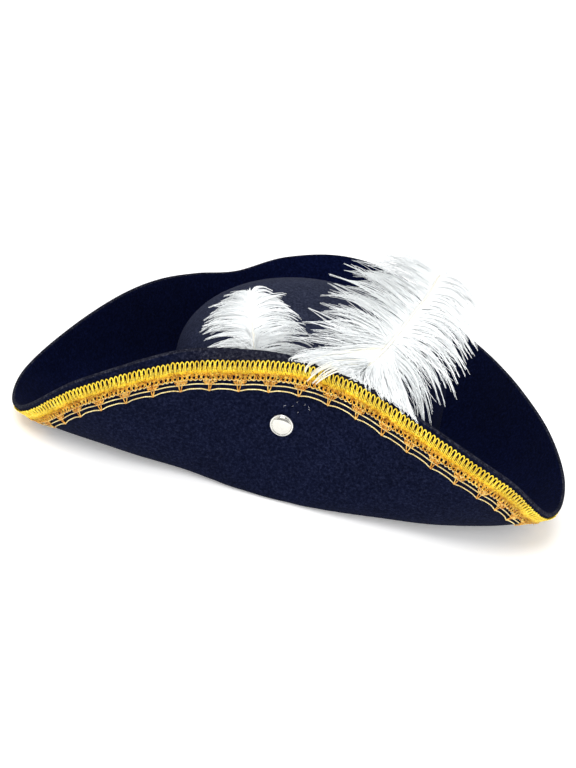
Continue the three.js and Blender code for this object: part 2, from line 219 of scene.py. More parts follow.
def crown_section(angle, t):
    """The crown's middle surface: 0 to 1 dome, to 2 wall, to 3 fillet, to 4 flat."""
    wall = crown_radius(angle) - HALF
    top = wall - CROWN["taper"]
    foot = HALF + CROWN["fillet"]
    shoulder = CROWN["shoulder"]
    a = np.radians(90 * (1 - np.clip(t, 0, 1)))
    dome = (top * np.cos(a), shoulder + (CROWN["height"] - HALF - shoulder) * np.sin(a))
    k = np.clip(t - 1, 0, 1)
    side = (top + CROWN["taper"] * k, shoulder + (foot - shoulder) * k)
    b = np.radians(90 * np.clip(t - 2, 0, 1))
    fillet = CROWN["fillet"]
    turn = (wall + fillet * (1 - np.cos(b)), foot - fillet * np.sin(b))
    flat = (wall + fillet + BRIM["flat"] * (t - 3), HALF + 0 * wall)
    part = [t <= 1, t <= 2, t <= 3]
    out = np.select(part, [dome[0], side[0], turn[0]], flat[0])
    up = np.select(part, [dome[1], side[1], turn[1]], flat[1])
    return out, up


FOLD_STEPS = 96


def fold_lines(angle):
    """Points of the brim's middle surface from flat to rim for each angle, and their lengths."""
    share = catmull(SECTIONS, (angle / 360) % 1, True)
    width = BRIM["width"]
    base = crown_radius(angle)
    start_out, start_up = crown_section(angle, np.full_like(angle, 4.0))
    start = np.stack([start_out, start_up], -1)
    rim = np.stack([base + share[:, 1] * width, share[:, 2] * width], -1)
    corner_out = np.maximum(base + share[:, 0] * width, start_out)
    corner = np.stack([corner_out, np.full_like(corner_out, HALF)], -1)
    one = start + (corner - start) * FOLD_TIGHTNESS
    two = rim + (corner - rim) * FOLD_TIGHTNESS
    t = np.linspace(0, 1, FOLD_STEPS + 1)[None, :, None]
    line = (
        start[:, None] * (1 - t) ** 3
        + 3 * one[:, None] * t * (1 - t) ** 2
        + 3 * two[:, None] * t**2 * (1 - t)
        + rim[:, None] * t**3
    )
    steps = np.linalg.norm(np.diff(line, axis=1), axis=2)
    length = np.concatenate([np.zeros((len(angle), 1)), np.cumsum(steps, axis=1)], axis=1)
    return line, length


def grid_normals(points):
    """Unit normals of a grid of points, [round, down], that closes on itself."""
    around = np.roll(points, -1, 0) - np.roll(points, 1, 0)
    return unit(np.cross(np.gradient(points, axis=1), around))


def on_brim(angle, line, length, want):
    """Points at the wanted lengths along each angle's fold line."""
    out = np.array([np.interp(w, l, p[:, 0]) for w, l, p in zip(want, length, line)])
    up = np.array([np.interp(w, l, p[:, 1]) for w, l, p in zip(want, length, line)])
    return in_space(angle, out, up)


ROUND = 384
angles = np.arange(ROUND) * 360 / ROUND
# Rows of the felt's grid: places in the crown's section, then equal steps down the brim.
CROWN_ROWS = [*np.linspace(0.03, 1, 26), 1.25, 1.5, 1.75, 2, 2.2, 2.4, 2.6, 2.8, 3, 3.5, 4]
BRIM_ROWS = 36
BRIM_LINE, BRIM_LENGTH = fold_lines(angles)


def felt_grid():
    """The middle surface as one grid from the crown's top to the rim, and its normals."""
    rows = []
    for t in CROWN_ROWS:
        out, up = crown_section(angles, np.full_like(angles, t))
        rows.append(in_space(angles, out, up))
    for share in np.linspace(0, 1, BRIM_ROWS + 1)[1:]:
        rows.append(on_brim(angles, BRIM_LINE, BRIM_LENGTH, BRIM_LENGTH[:, -1] * share))
    points = np.stack(rows, 1)
    return points, grid_normals(points)


felt_points, felt_normals = felt_grid()
felt_low = (felt_points - HALF * np.abs(felt_normals)).min((0, 1))
felt_high = (felt_points + HALF * np.abs(felt_normals)).max((0, 1))
cad_low, cad_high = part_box("felt_body")
# The crown's axis in the row frame.
SHIFT = np.array(
    [
        (cad_low[0] + cad_high[0]) / 2 / MM - (felt_low[0] + felt_high[0]) / 2,
        (cad_low[1] + cad_high[1]) / 2 / MM - (felt_low[1] + felt_high[1]) / 2,
        0,
    ]
)


# Mesh helpers
def make_piece(name, points, faces, material, replaces=(), slot=None, smooth=True):
    mesh = bpy.data.meshes.new(name)
    points = np.asarray(points, float).reshape(-1, 3)
    points = (points + SHIFT) * MM
    faces = np.asarray(faces, np.int32)
    count, sides = faces.shape
    mesh.vertices.add(len(points))
    mesh.vertices.foreach_set("co", points.astype(np.float32).ravel())
    mesh.loops.add(count * sides)
    mesh.loops.foreach_set("vertex_index", faces.ravel())
    mesh.polygons.add(count)
    mesh.polygons.foreach_set("loop_start", np.arange(count, dtype=np.int32) * sides)
    mesh.update(calc_edges=True)
    mesh.validate()
    mesh.polygons.foreach_set("use_smooth", np.full(len(mesh.polygons), smooth))
    mesh.materials.append(material)
    piece = bpy.data.objects.new(name, mesh)
    scene.collection.objects.link(piece)
    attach(piece, "root")
    if replaces:
        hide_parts(*replaces)
    return piece


def grid_faces(rows, places, close_rows, close_places):
    """Quads of a grid of points numbered [row, place], closed in either direction or not."""
    i = np.arange(rows if close_rows else rows - 1)[:, None]
    j = np.arange(places if close_places else places - 1)[None, :]
    m = (i + 1) % rows
    k = (j + 1) % places
    corners = [i * places + j, i * places + k, m * places + k, m * places + j]
    return np.stack(corners, -1).reshape(-1, 4)


def tubes(paths, radius, sides=5, up=(0.13, 0.29, 0.95)):
    """Tubes along paths [n, k, 3] as points and quads. radius is a number or [n, k]."""
    paths = np.asarray(paths, float)
    n, k, _ = paths.shape
    along = unit(np.gradient(paths, axis=1))
    across = unit(np.cross(along, np.broadcast_to(up, paths.shape)))
    over = np.cross(across, along)
    radius = np.broadcast_to(radius, (n, k))[..., None]
    ring = []
    for j in range(sides):
        a = 2 * math.pi * j / sides
        ring.append(paths + radius * (math.cos(a) * across + math.sin(a) * over))
    points = np.stack(ring, 2)
    first = (np.arange(n) * k * sides)[:, None, None]
    faces = grid_faces(k, sides, False, True) + first
    return points.reshape(-1, 3), faces.reshape(-1, 4)


def joined(parts):
    """Several (points, faces) lists as one."""
    points = []
    faces = []
    start = 0
    for p, f in parts:
        points.append(np.asarray(p, float).reshape(-1, 3))
        faces.append(np.asarray(f) + start)
        start += len(points[-1])
    return np.concatenate(points), np.concatenate(faces)


# Materials
def new_material(name):
    material = bpy.data.materials.new(name)
    material.use_nodes = True
    tree = material.node_tree
    return material, tree, tree.nodes["Principled BSDF"]


def add_node(tree, kind, **values):
    node = tree.nodes.new(kind)
    for key, value in values.items():
        if key in node.inputs:
            node.inputs[key].default_value = value
        else:
            setattr(node, key, value)
    return node


def set_inputs(node, values):
    for key, value in values.items():
        node.inputs[key].default_value = value


def noise(tree, scale, detail, rough):
    coords = add_node(tree, "ShaderNodeTexCoord")
    node = add_node(tree, "ShaderNodeTexNoise", Scale=scale, Detail=detail, Roughness=rough)
    tree.links.new(coords.outputs["Object"], node.inputs["Vector"])
    return node.outputs["Fac"]


def ramp(tree, source, stops):
    node = tree.nodes.new("ShaderNodeValToRGB")
    bar = node.color_ramp
    while len(bar.elements) < len(stops):
        bar.elements.new(0.5)
    for element, (place, colour) in zip(bar.elements, stops):
        element.position = place
        element.color = (*colour, 1)
    tree.links.new(source, node.inputs["Fac"])
    return node.outputs["Color"]


def grey(value):
    return (value, value, value)


# A mix node's colour sockets by number, because each name stands for several sockets.
MIX_SHARE, MIX_FIRST, MIX_SECOND, MIX_RESULT = 0, 6, 7, 2


def blend(tree, share, first, second):
    """first where share is 0 and second where it is 1."""
    node = add_node(tree, "ShaderNodeMix", data_type="RGBA")
    tree.links.new(share, node.inputs[MIX_SHARE])
    tree.links.new(first, node.inputs[MIX_FIRST])
    tree.links.new(second, node.inputs[MIX_SECOND])
    return node.outputs[MIX_RESULT]


def multiply(tree, first, second, share=None):
    """first times second, everywhere or by a share."""
    node = add_node(tree, "ShaderNodeMix", data_type="RGBA", blend_type="MULTIPLY")
    node.inputs[MIX_SHARE].default_value = 1
    if share is not None:
        tree.links.new(share, node.inputs[MIX_SHARE])
    tree.links.new(first, node.inputs[MIX_FIRST])
    tree.links.new(second, node.inputs[MIX_SECOND])
    return node.outputs[MIX_RESULT]


def bump(tree, shader, source, strength, distance, into=None):
    node = add_node(tree, "ShaderNodeBump", Strength=strength, Distance=distance)
    tree.links.new(source, node.inputs["Height"])
    if into:
        tree.links.new(into.outputs["Normal"], node.inputs["Normal"])
    tree.links.new(node.outputs["Normal"], shader.inputs["Normal"])
    return node


def map_range(tree, source, low, high):
    node = add_node(tree, "ShaderNodeMapRange")
    node.inputs["From Min"].default_value = low
    node.inputs["From Max"].default_value = high
    tree.links.new(source, node.inputs["Value"])
    return node.outputs["Result"]


def larger(tree, first, second):
    node = add_node(tree, "ShaderNodeMath", operation="MAXIMUM")
    tree.links.new(first, node.inputs[0])
    tree.links.new(second, node.inputs[1])
    return node.outputs[0]


def hat_place(tree, axes):
    """The place in the hat as a share of axes, from the crown's axis."""
    coords = add_node(tree, "ShaderNodeTexCoord")
    centre = add_node(tree, "ShaderNodeVectorMath", operation="SUBTRACT")
    centre.inputs[1].default_value = (SHIFT[0] * MM, SHIFT[1] * MM, 0)
    tree.links.new(coords.outputs["Object"], centre.inputs[0])
    share = add_node(tree, "ShaderNodeVectorMath", operation="DIVIDE")
    share.inputs[1].default_value = [axis * MM for axis in axes]
    tree.links.new(centre.outputs[0], share.inputs[0])
    return share.outputs[0]


# Where the felt's shades begin and end to change, as shares of the crown's half sizes and height:
# from the crown's top, painted lighter as if lit from above, to painted shade on the brim, on the
# crown's lower wall and, as the large plume's painted shadow, on its right-hand wall.
CROWN_TOP_LIGHT_FADE = (0.82, 1.1)
CROWN_LOW_SHADE_FADE = (0.82, 0.34)
CROWN_RIGHT_SHADOW_FADE = (0.35, 0.8)
# Where the strip below the rim, lighter at the front with fuzz and painted light from above,
# begins and ends to darken, left and right of the crown's axis.
STRIP_LEFT_FADE = (-45, -75)
STRIP_RIGHT_FADE = (30, 60)


def crown_light_and_shade_mask(tree):
    """Mask of painted light and shade: 0 on the crown's top, painted as lit from above, 1 on the
    brim and on the crown's lower and right-hand wall, painted in shade.
    """
    share = hat_place(tree, (CROWN["half_width"], CROWN["half_length"], CROWN["height"]))
    parts = add_node(tree, "ShaderNodeSeparateXYZ")
    tree.links.new(share, parts.inputs[0])
    flat = add_node(tree, "ShaderNodeCombineXYZ")
    tree.links.new(parts.outputs["X"], flat.inputs["X"])
    tree.links.new(parts.outputs["Y"], flat.inputs["Y"])
    away = add_node(tree, "ShaderNodeVectorMath", operation="LENGTH")
    tree.links.new(flat.outputs[0], away.inputs[0])
    side = map_range(tree, away.outputs["Value"], *CROWN_TOP_LIGHT_FADE)
    low = map_range(tree, parts.outputs["Z"], *CROWN_LOW_SHADE_FADE)
    right = map_range(tree, parts.outputs["X"], *CROWN_RIGHT_SHADOW_FADE)
    return larger(tree, side, larger(tree, low, right))


def front_strip_light_mask(tree):
    """0 at the front of the hat, where the strip below the rim has fuzz and painted light from
    above, 1 towards its two sides.
    """
    parts = add_node(tree, "ShaderNodeSeparateXYZ")
    tree.links.new(hat_place(tree, (1, 1, 1)), parts.inputs[0])
    left = map_range(tree, parts.outputs["X"], *STRIP_LEFT_FADE)
    right = map_range(tree, parts.outputs["X"], *STRIP_RIGHT_FADE)
    return larger(tree, left, right)


# Where the noise turns to the felt's dark, middle and light flecks.
FLECKS = (0.38, 0.52, 0.68)


def felt_material(name, shades, other=None, away=None):
    """Matt felt. shades are its dark, middle and light flecks; other is those where away is 0."""
    material, tree, shader = new_material(name)
    fine = noise(tree, 620, 4, 0.8)
    cloud = noise(tree, 60, 3, 0.5)
    colour = ramp(tree, fine, list(zip(FLECKS, shades)))
    if other:
        # Where away is 0 the other shades take over: painted light on the crown's top, and fuzz
        # with painted light on the strip below the front rim.
        colour = blend(tree, away(tree), ramp(tree, fine, list(zip(FLECKS, other))), colour)
    tint = ramp(tree, cloud, [(0.3, grey(0.85)), (0.7, grey(1.1))])
    tree.links.new(multiply(tree, colour, tint), shader.inputs["Base Color"])
    set_inputs(shader, {"Roughness": 0.95, "Specular IOR Level": 0.03})
    set_inputs(shader, {"Sheen Weight": 0.02, "Sheen Roughness": 0.5})
    set_inputs(shader, {"Sheen Tint": (0.55, 0.6, 0.9, 1)})
    first = bump(tree, shader, fine, 0.7, 0.0007)
    bump(tree, shader, cloud, 0.25, 0.002, first)
    return material


def gold_material(name, dark, mid, light, scale):
    material, tree, shader = new_material(name)
    fine = noise(tree, scale, 3, 0.6)
    cloud = noise(tree, 90, 2, 0.5)
    colour = ramp(tree, fine, [(0.3, dark), (0.5, mid), (0.68, light)])
    tint = ramp(tree, cloud, [(0.35, (0.85, 0.8, 0.7)), (0.65, (1.1, 1.1, 1.0))])
    tree.links.new(multiply(tree, colour, tint), shader.inputs["Base Color"])
    set_inputs(shader, {"Metallic": 0.25, "Roughness": 0.36})
    bump(tree, shader, fine, 0.5, 0.0003)
    return material


def metal_material(name, colour, roughness):
    material, tree, shader = new_material(name)
    fine = noise(tree, 260, 3, 0.6)
    tint = ramp(tree, fine, [(0.3, tuple(0.9 * c for c in colour)), (0.7, colour)])
    tree.links.new(tint, shader.inputs["Base Color"])
    set_inputs(shader, {"Metallic": 0.85, "Roughness": roughness})
    bump(tree, shader, fine, 0.08, 0.0002)
    return material


def feather_material(name, root, tip):
    material, tree, shader = new_material(name)
    fine = noise(tree, 500, 2, 0.5)
    tree.links.new(ramp(tree, fine, [(0.3, root), (0.7, tip)]), shader.inputs["Base Color"])
    set_inputs(shader, {"Roughness": 0.7, "Specular IOR Level": 0.3})
    bump(tree, shader, fine, 0.2, 0.0002)
    return material


# The upper side is the same felt as the under side but painted darker, as painted shade; where the
# mask is 0 its crown top is painted lighter, as painted light from above.
UPPER_FELT = felt_material(
    "felt_upper_side",
    [(0.0006, 0.0013, 0.009), (0.0016, 0.0032, 0.02), (0.005, 0.008, 0.036)],
    [(0.010, 0.0125, 0.027), (0.0225, 0.027, 0.051), (0.046, 0.052, 0.086)],
    crown_light_and_shade_mask,
)
UNDER_SHADES = [(0.001, 0.002, 0.0095), (0.0042, 0.0062, 0.021), (0.014, 0.0175, 0.044)]
# The cut edge's shades are lighter than the under side's: partly its exposed fibres, partly
# painted light from above.
EDGE_SHADES = [(0.004, 0.0045, 0.011), (0.014, 0.015, 0.026), (0.06, 0.062, 0.08)]
UNDER_FELT = felt_material("felt_under_side", UNDER_SHADES)
EDGE_FELT = felt_material("felt_cut_edge", EDGE_SHADES)
# The strip below the rim takes the cut edge's lighter shades at the front: fuzz and painted light
# from above.
STRIP_FELT = felt_material("felt_below_rim", UNDER_SHADES, EDGE_SHADES, front_strip_light_mask)
LOOP_GOLD = gold_material(
    "loop_gold", (0.62, 0.36, 0.008), (1.0, 0.74, 0.035), (1.0, 0.93, 0.2), 1100
)
BAND_GOLD = gold_material(
    "band_gold", (0.5, 0.2, 0.005), (0.95, 0.6, 0.015), (1.0, 0.85, 0.08), 420
)
SHADE_GOLD = gold_material(
    "shade_gold", (0.03, 0.01, 0.002), (0.09, 0.03, 0.004), (0.2, 0.08, 0.008), 700
)
ORANGE_GOLD = gold_material(
    "orange_gold", (0.22, 0.04, 0.003), (0.8, 0.38, 0.015), (1.0, 0.82, 0.18), 520
)
KNOT_GOLD = gold_material("knot_gold", (0.38, 0.1, 0.01), (0.85, 0.43, 0.06), (1.0, 0.8, 0.3), 420)
THREAD_GOLD = gold_material(
    "thread_gold", (0.8, 0.56, 0.2), (1.0, 0.83, 0.42), (1.0, 0.93, 0.64), 800
)
SNAP_METAL = metal_material("snap_metal", (0.8, 0.79, 0.73), 0.1)
SNAP_RIM = metal_material("snap_rim", (0.9, 0.9, 0.9), 0.2)
STUD_METAL = metal_material("stud_metal", (0.7, 0.7, 0.7), 0.4)
FEATHER = feather_material("white_feather", (0.84, 0.865, 0.875), (0.91, 0.925, 0.92))
# A warmer copy of the white feather for the strands on the braid: painted gold light from the
# braid beneath them.
GOLD_LIT_FEATHER = feather_material("feather_gold_lit", (0.93, 0.91, 0.8), (0.97, 0.96, 0.9))
SHAFT = feather_material("feather_shaft", (0.8, 0.77, 0.68), (0.88, 0.86, 0.78))
LINT = feather_material("lint", (0.6, 0.6, 0.62), (0.85, 0.85, 0.87))


# Felt
# Turns of the rows of points round the rim's cut edge, in degrees, and how round it is.
EDGE_TURNS = (52, 18, -18, -52)
EDGE_ROUNDNESS = 0.8
STRIP_ROWS = 2
CAP_LIFT = 0.02


def make_felt():
    upper = felt_points + HALF * felt_normals
    under = felt_points - HALF * felt_normals
    rim = felt_points[:, -1]
    outward = unit(rim - felt_points[:, -2])
    edge = []
    for a in np.radians(EDGE_TURNS):
        swell = EDGE_ROUNDNESS * math.cos(a) * outward
        edge.append(rim + HALF * (math.sin(a) * felt_normals[:, -1] + swell))
    grid = np.concatenate([upper, np.stack(edge, 1), under[:, ::-1]], 1)
    count = grid.shape[1]
    points = grid.reshape(-1, 3)
    faces = grid_faces(ROUND, count, True, False)
    body = make_piece("felt_hat", points, faces, UPPER_FELT, ["felt_body"], "felt_body")
    for felt in (EDGE_FELT, STRIP_FELT, UNDER_FELT):
        body.data.materials.append(felt)
    first = felt_points.shape[1] - 1
    row = np.tile(np.arange(count - 1), ROUND)
    last = first + len(EDGE_TURNS) + 1
    place = np.select([row < first, row < last, row < last + STRIP_ROWS], [0, 1, 2], 3)
    body.data.polygons.foreach_set("material_index", place.astype(np.int32))
    # The small openings left at the crown's very top.
    for side, z in (("outside", 1), ("inside", -1)):
        ring = (upper if z > 0 else under)[:, 0]
        top = ring.mean(0) + np.array([0, 0, CAP_LIFT])
        cap_faces = [(k, (k + 1) % ROUND, ROUND) for k in range(ROUND)]
        felt = UPPER_FELT if z > 0 else UNDER_FELT
        make_piece(f"crown_top_{side}", np.vstack([ring, top]), cap_faces, felt)


make_felt()


# Braid
RIM_STEPS = 2400
DEPTH_STEP = 0.5
DEPTHS = np.arange(-6, 56 + DEPTH_STEP, DEPTH_STEP)


def braid_top(angle):
    """How far the braid's upper edge lies below the rim: least where the rim is low."""
    rise = catmull(SECTIONS, (angle / 360) % 1, True)[:, 2] / SECTIONS[:, 2].max()
    low = BRAID["below_rim_at_lowest"]
    share = np.clip((angle % 360 - BRAID_NEARER_FROM) / BRAID_NEARER_SPAN, 0, 1)
    nearer = catmull(np.array(BRAID_NEARER)[:, None], share, False)[:, 0]
    return low + (BRAID["below_rim"] - low) * rise - nearer * rise


def braid_tables():
    """Points and normals of the felt at equal steps along the rim, by depth in the braid."""
    fine = np.linspace(0, 360, RIM_STEPS * 2 + 1)
    line, length = fold_lines(fine)
    rim = in_space(fine, line[:, -1, 0], line[:, -1, 1])
    run = np.concatenate([[0], np.cumsum(np.linalg.norm(np.diff(rim, axis=0), axis=1))])
    here = np.linspace(0, run[-1], RIM_STEPS + 1)[:-1]
    at = np.interp(here, run, fine)
    line, length = fold_lines(at)
    top = braid_top(at)
    places = []
    for depth in DEPTHS:
        want = np.minimum(length[:, -1] - top - depth, length[:, -1])
        places.append(on_brim(at, line, length, want))
    points = np.stack(places, 1)
    return points, grid_normals(points), fine, run


LACE_POINTS, LACE_NORMALS, RIM_ANGLES, RIM_RUN = braid_tables()
RIM_LENGTH = RIM_RUN[-1]


def lace(along, depth, lift):
    """Points on the outside of the brim: along the rim, down the braid, and off the felt."""
    place = (np.asarray(along, float) / RIM_LENGTH * RIM_STEPS) % RIM_STEPS
    i = np.floor(place).astype(int) % RIM_STEPS
    k = (place - np.floor(place))[..., None]
    row = (np.asarray(depth, float) - DEPTHS[0]) / DEPTH_STEP
    row = np.clip(row, 0, len(DEPTHS) - 1.001)
    j = np.floor(row).astype(int)
    m = (row - j)[..., None]
    n = (i + 1) % RIM_STEPS

    def mixed(table):
        near = table[i, j] * (1 - m) + table[i, j + 1] * m
        far = table[n, j] * (1 - m) + table[n, j + 1] * m
        return near * (1 - k) + far * k

    return mixed(LACE_POINTS) + mixed(LACE_NORMALS) * (HALF + np.asarray(lift))[..., None]


def lace_tubes(along, depth, lift, radius, sides=5):
    along, depth, lift = np.broadcast_arrays(along, depth, lift)
    paths = lace(along, depth, lift)
    out = lace(along, depth, lift + 1.0) - paths
    return tubes(paths, radius, sides, out)


# The braid's cords: each cord's radius, and its depths below the braid's upper edge.
LOOP = {"pitch": 2.87, "cord": 0.42, "top": 0.4, "reach": 8.2, "slit": 0.2}
LOOP_TURNS = [-1, -0.75, -0.5, -0.3, -0.18, -0.08, 0, 0.08, 0.18, 0.3, 0.5, 0.75, 1]
RIB = {"cord": 0.25, "top": 4.7, "foot": 8.4}
RIDGE = {"cord": 0.28, "rows": (7.4, 8.2), "swing": 0.6}
TANGLE = {"cord": 0.25, "rows": (8.9, 9.6), "swing": 0.8}
SCALLOP = {"cord": 0.36, "height": 4.0, "above_foot": 0.55}
# The dark sheet under the ribs is painted shade: its depths, and its two faces' lifts off the
# felt.
SHADE_SHEET = {"rows": (4.2, 6.5, 8.9), "outside": 0.55, "inside": 0.2}
KNOT = {"cord": 0.26, "leg": 0.34, "stay": 0.3, "ring": 0.36}
KNOT_CURLS = (-2.9, -1.9, -0.9, 0.1, 1.0, 2.0, 2.9)
THREAD = {"cord": 0.28, "steps": 28, "twist": 4}
band = BRAID["band"]
loop_count = int(round(RIM_LENGTH / LOOP["pitch"]))
loop_pitch = RIM_LENGTH / loop_count
loop_centre = (np.arange(loop_count) * loop_pitch)[:, None]
rng = np.random.default_rng(7)
loop_lean = rng.normal(0, 0.12, (loop_count, 1))


def once_round(steps):
    """Places along the rim in equal steps, back to the first."""
    return np.arange(steps + 1) * RIM_LENGTH / steps


def make_loops():
    """Tall loops along the braid's upper edge, side by side, with a dark slit in each."""
    turn = np.array(LOOP_TURNS)[None]
    side = np.sign(turn) * np.minimum(1, (np.abs(turn) / LOOP["slit"])) ** 0.7
    down = LOOP["top"] + LOOP["reach"] * np.clip(np.abs(turn) - 0.03, 0, 1)
    down = down + rng.normal(0, 0.16, (loop_count, 1))
    wide = loop_pitch / 2 - LOOP["cord"]
    along = loop_centre + wide * side + loop_lean * (1 - down / 6)
    lift = 0.75 + 0.3 * np.cos(turn * math.pi / 2)
    return lace_tubes(along, down, lift, LOOP["cord"] - 0.08 * np.abs(turn))


def make_ribs():
    """Upright threads that fill each loop below its slit."""
    turn = np.linspace(0, 1, 6)[None]
    top = RIB["top"] + rng.normal(0, 0.35, (loop_count, 1))
    down = top + (RIB["foot"] - top) * turn
    along = loop_centre + loop_lean * (1 - down / 6) + 0.12 * np.sin(turn * 5 + loop_centre)
    return lace_tubes(along, down, 0.7 + 0.35 * np.sin(turn * math.pi), RIB["cord"])


def wavy(depth, swing, phase, lift, weave, radius, rough, steps_each=5):
    """A cord that runs along the braid and swings up and down with each loop."""
    steps = loop_count * steps_each
    turn = 2 * math.pi * np.arange(steps + 1) / steps_each + phase
    shift = rng.normal(0, rough, steps + 1)
    shift[-1] = shift[0]
    down = depth + swing * np.sin(turn) + shift
    off = lift + weave * np.cos(turn) + np.roll(shift, 3) * 0.6
    off[-1] = off[0]
    return lace_tubes(once_round(steps)[None], down[None], off[None], radius, 4)


def make_band():
    """The bright woven ridge at the ribs' feet: cords that cross side by side."""
    parts = []
    for row, depth in enumerate(RIDGE["rows"]):
        for phase in (0, math.pi):
            turn = phase + 1.3 * row
            parts.append(wavy(depth, RIDGE["swing"], turn, 0.85, 0.3, RIDGE["cord"], 0.16))
    return joined(parts)


def make_tangle():
    """The darker crocheted row under the ridge: rough curls with holes between."""
    parts = []
    for row, depth in enumerate(TANGLE["rows"]):
        for phase in (0, 3.0):
            turn = phase + row
            parts.append(wavy(depth, TANGLE["swing"], turn, 0.9, 0.5, TANGLE["cord"], 0.5))
    return joined(parts)


def make_lower_loops():
    """Small hanging loops with dark slits along the braid's lower edge."""
    turn = np.linspace(-1, 1, 11)[None]
    side = np.sign(turn) * np.minimum(1, np.abs(turn) * 2.6) ** 0.7
    centre = loop_centre + loop_pitch / 2
    wide = loop_pitch / 2 - SCALLOP["cord"]
    along = centre + wide * side + rng.normal(0, 0.16, (loop_count, 1))
    bottom = band - SCALLOP["above_foot"] + rng.normal(0, 0.18, (loop_count, 1))
    down = bottom - SCALLOP["height"] * np.clip(np.abs(turn) - 0.06, 0, 1) ** 1.2
    lift = 0.7 + 0.35 * np.cos(turn * math.pi / 2)
    return lace_tubes(along, down, lift, SCALLOP["cord"])


def make_shade_sheet():
    """A thin dark sheet under the braid's ribs: painted shade in the gaps between them."""
    a, d = np.meshgrid(once_round(loop_count), np.array(SHADE_SHEET["rows"]), indexing="ij")
    over = lace(a, d, np.full_like(a, SHADE_SHEET["outside"]))
    under = lace(a, d, np.full_like(a, SHADE_SHEET["inside"]))
    grid = np.concatenate([over, under[:, ::-1]], 1)
    return grid.reshape(-1, 3), grid_faces(*grid.shape[:2], False, True)


def make_knots():
    """Crocheted clusters under the band, each tied down to the two threads."""
    count = BRAID["knots"]
    centre = (np.arange(count) * (RIM_LENGTH / count))[:, None]
    ring = 2 * math.pi * np.linspace(0, 1, 12)[None]
    parts = []
    for place in KNOT_CURLS:
        size = rng.uniform(0.65, 1.0, (count, 1))
        phase = rng.uniform(0, 2 * math.pi, (count, 1))
        shift = rng.normal(0, 0.25, (count, 1))
        low = band + 0.9 - 0.1 * place**2 + rng.normal(0, 0.25, (count, 1))
        along = centre + place + shift + size * np.cos(phase + ring * 1.1)
        down = low + 1.35 * size * np.sin(phase + ring * 1.1)
        lift = 0.9 + 0.4 * np.sin(ring * 1.5 + phase)
        parts.append(lace_tubes(along, down, lift, KNOT["cord"], 4))
    first, second = BRAID_THREADS
    turn = np.linspace(0, 1, 7)[None]
    # Two legs down to the lower thread, then two wider stays to the upper one.
    for side in (-1, 1):
        bow = rng.normal(0, 0.2, (count, 1)) * np.sin(turn * math.pi)
        along = centre + side * (1.35 - 0.95 * turn) + bow
        down = band + 0.8 + (second + 0.5 - band - 0.8) * turn
        parts.append(lace_tubes(along, down, 0.85 + 0.3 * np.sin(turn * 3.1), KNOT["leg"], 4))
    for side in (-1, 1):
        along = centre + side * (1.8 + 1.3 * turn) + rng.normal(0, 0.1, (count, 1))
        down = band + 1.2 + (first - band - 1.0) * turn
        parts.append(lace_tubes(along, down, 0.9 + 0.2 * turn, KNOT["stay"], 4))
    # A small ring at the foot.
    ring = np.linspace(0, 2 * math.pi, 9)[None]
    along = centre + 0.62 * np.cos(ring)
    down = second + 0.75 + 0.55 * np.sin(ring)
    parts.append(lace_tubes(along, down, 0.85, KNOT["ring"], 4))
    return joined(parts)


def make_threads():
    """Two thin twisted cords, drawn up between the knots, the lower one in small points."""
    parts = [wavy(band - 0.45, 0.4, 2.6, 0.9, 0.2, 0.3, 0.05, 8)]
    steps = BRAID["knots"] * THREAD["steps"]
    place = np.arange(steps + 1)
    rise = np.abs(np.cos(math.pi * place / THREAD["steps"]))
    first, second = BRAID_THREADS
    for depth, dip, power in ((first, 0.35, 2.0), (second, 1.0, 5.0)):
        for phase in (0, math.pi):
            twist = 2 * math.pi * place / THREAD["twist"] + phase
            down = depth + dip * rise**power + 0.15 * np.sin(twist)
            lift = 0.65 + 0.15 * np.cos(twist)
            path = (once_round(steps)[None], down[None], lift[None])
            parts.append(lace_tubes(*path, THREAD["cord"], 4))
    return joined(parts)


make_piece("braid_loops", *make_loops(), LOOP_GOLD, ["gold_braid"], "gold_braid")
make_piece("braid_ribs", *make_ribs(), LOOP_GOLD, (), "gold_braid")
make_piece("braid_band", *make_band(), BAND_GOLD, (), "gold_braid")
make_piece("braid_shade_sheet", *make_shade_sheet(), SHADE_GOLD, (), "gold_braid")
make_piece("braid_tangle", *make_tangle(), ORANGE_GOLD, (), "gold_braid")
make_piece("braid_scallops", *make_lower_loops(), ORANGE_GOLD, (), "gold_braid")
make_piece("braid_knots", *make_knots(), KNOT_GOLD, (), "gold_braid")
make_piece("braid_threads", *make_threads(), THREAD_GOLD, (), "gold_braid")


# Lint
LINT_RADIUS = 0.055


def make_lint(count, spread, depth, seed):
    """Short pale fibres caught on the front flap's nap."""
    local = np.random.default_rng(seed)
    run = np.interp(local.uniform(*spread, (count, 1)), RIM_ANGLES, RIM_RUN)
    turn = np.linspace(-1, 1, 5)[None]
    way = local.uniform(0, 2 * math.pi, (count, 1))
    size = local.uniform(0.2, 0.7, (count, 1))
    curl = local.normal(0, 0.5, (count, 1)) * turn**2
    along = run + size * (turn * np.cos(way) - curl * np.sin(way))
    down = local.uniform(*depth, (count, 1)) + size * (turn * np.sin(way) + curl * np.cos(way))
    return lace_tubes(along, down, 0.15 + 0.2 * turn**2, LINT_RADIUS, 4)


make_piece("lint", *make_lint(7, (266, 274), (22.5, 31), 4), LINT, (), "felt_body")


# Snap
SNAP_SIDES = 64
SNAP_DOME_STEPS = 8
# The cap's rings of faces that are its rolled rim.
SNAP_RIM_RINGS = (2, 4)
# The turn, in degrees, between the fold lines that give the flap's slope at the snap.
SLOPE_TURN = 0.1


